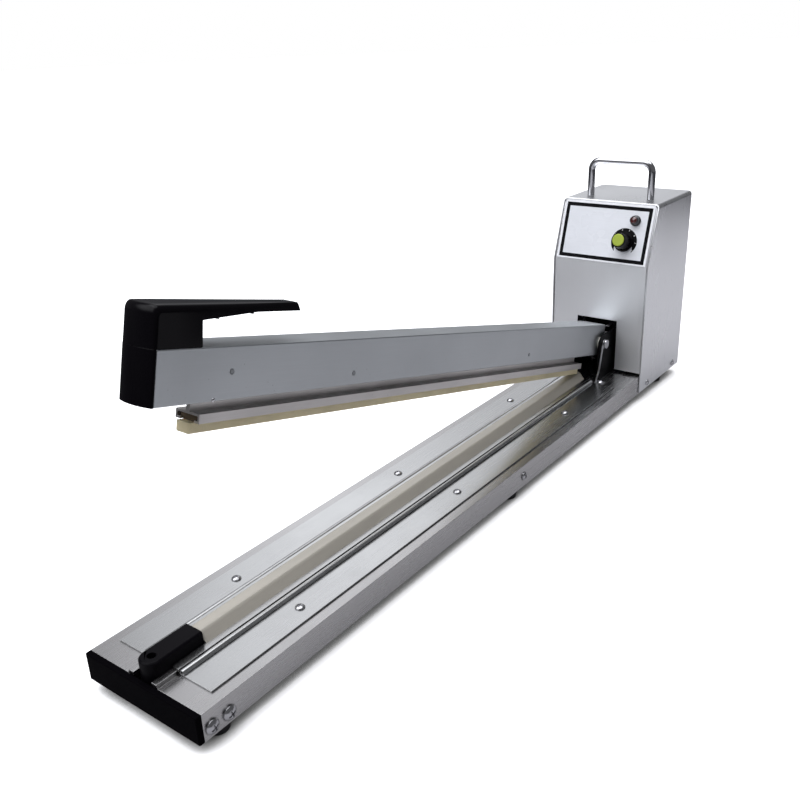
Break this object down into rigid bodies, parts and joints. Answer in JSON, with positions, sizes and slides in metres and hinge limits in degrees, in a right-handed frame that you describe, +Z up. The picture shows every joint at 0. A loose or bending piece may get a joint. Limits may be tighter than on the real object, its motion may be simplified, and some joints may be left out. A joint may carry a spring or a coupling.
{
  "type": "impulse sealer",
  "caption": "Long arm impulse sealer with an aluminium base, a sprung sealing arm with grip, a cloth covered bed and a control housing with timer knob, lamp and carrying handle",
  "frame": {"origin": "on the table, under the middle of the object's bounding box", "axes": "+Z up; +Y along the length, from the operator's open end to the housing; +X to the side that the picture shows"},
  "size_m": [0.1078, 0.7162, 0.2458],
  "materials": {
    "satin_aluminium": "satin anodised, fine lengthwise grain",
    "dark_aluminium": "dull mill finish",
    "brushed_sheet": "brushed sheet, grain running across",
    "bright_steel": "bright plated",
    "zinc_steel": "zinc plated",
    "spring_steel": "oiled spring steel",
    "ribbon_steel": "flat resistance ribbon",
    "chrome": "polished chrome",
    "brass": "plain brass",
    "black_plastic": "fine moulded",
    "gloss_black": "glossy moulded",
    "nylon": "natural nylon",
    "black_rubber": "moulded",
    "black_paint": "black paint",
    "tape": "adhesive glass tape",
    "coated_cloth": "coated glass cloth, slightly shiny",
    "silicone": "cream silicone",
    "label": "printed plate, white border and black line",
    "red_lens": "dark red translucent",
    "green_cap": "yellow green",
    "board": "circuit board",
    "laminations": "varnished laminations",
    "winding": "taped winding"
  },
  "bodies": {
    "base": {"base_extrusion": "satin_aluminium", "base_end_cap": "black_plastic", "rubber_feet": "black_rubber", "foot_screws": "bright_steel", "base_side_screws": "bright_steel", "clamp_strip_left": "satin_aluminium", "clamp_strip_right": "satin_aluminium", "clamp_screws": "bright_steel", "bed_bar": "dark_aluminium", "insulation_tape": "tape", "heating_ribbon": "ribbon_steel", "ptfe_cloth": "coated_cloth", "front_terminal_cover": "black_plastic", "cover_screw": "bright_steel", "terminal_spring": "spring_steel", "rear_terminal": "brass", "rear_terminal_cover": "black_plastic", "hinge_bracket": "black_paint", "bracket_screws": "bright_steel", "hinge_pin": "bright_steel", "pin_clip": "spring_steel", "earth_strap": "bright_steel", "return_springs": "spring_steel", "microswitch": "black_plastic", "housing_cover": "brushed_sheet", "housing_front": "brushed_sheet", "housing_rear": "brushed_sheet", "housing_screws": "bright_steel", "label_plate": "label", "lamp_bezel": "chrome", "lamp_lens": "red_lens", "lamp_body": "black_plastic", "timer_pot": "zinc_steel", "timer_board": "board", "board_parts": "black_plastic", "carry_handle": "chrome", "handle_nuts": "bright_steel", "transformer_core": "laminations", "transformer_coil": "winding", "transformer_strap": "zinc_steel", "fuse_holder": "black_plastic", "cable_gland": "black_plastic"},
    "arm": {"arm_tube": "satin_aluminium", "arm_bushes": "nylon", "arm_tail": "zinc_steel", "arm_end_cap": "gloss_black", "arm_grip": "gloss_black", "grip_screws": "bright_steel", "arm_rivets": "zinc_steel", "bar_springs": "spring_steel"},
    "press_bar": {"press_bar_holder": "dark_aluminium", "silicone_strip": "silicone", "guide_posts": "spring_steel"},
    "knob": {"knob_shaft": "brass", "timer_knob": "gloss_black", "knob_cap": "green_cap"},
    "terminal": {"front_terminal": "brass"},
    "lever": {"switch_lever": "zinc_steel"},
    "fuse_cap_body": {"fuse_cap": "black_plastic"}
  },
  "joints": [
    {"name": "arm_hinge", "type": "hinge", "parent": "base", "child": "arm", "pos_m": [0, 0.2232, 0.064], "axis": [1, 0, 0], "range_deg": [0, 14.4], "stiffness_Nm_per_rad": 2.5, "springref_deg": -60.16, "deforming": ["return_springs"]},
    {"name": "press_bar_float", "type": "slide", "parent": "arm", "child": "press_bar", "axis": [0, 0.2487, 0.9686], "range_m": [0, 0.007], "deforming": ["bar_springs"]},
    {"name": "timer_turn", "type": "hinge", "parent": "base", "child": "knob", "pos_m": [0.022, 0.2498, 0.1644], "axis": [0, -0.9511, 0.309], "range_deg": [-150, 150]},
    {"name": "terminal_slide", "type": "slide", "parent": "base", "child": "terminal", "axis": [0, -1, 0], "range_m": [0, 0.0015], "stiffness_N_per_m": 800},
    {"name": "switch_press", "type": "hinge", "parent": "base", "child": "lever", "pos_m": [0, 0.2745, 0.078], "axis": [-1, 0, 0], "range_deg": [0, 4.5], "stiffness_Nm_per_rad": 0.01, "springref_deg": -5.73},
    {"name": "fuse_cap_turn", "type": "hinge", "parent": "base", "child": "fuse_cap_body", "pos_m": [0.0405, 0.3514, 0.052], "axis": [0, 1, 0], "range_deg": [0, 90]}
  ],
  "couplings": [
    {"joint": "press_bar_float", "follows": "arm_hinge", "m_per_rad": 0.02785}
  ]
}
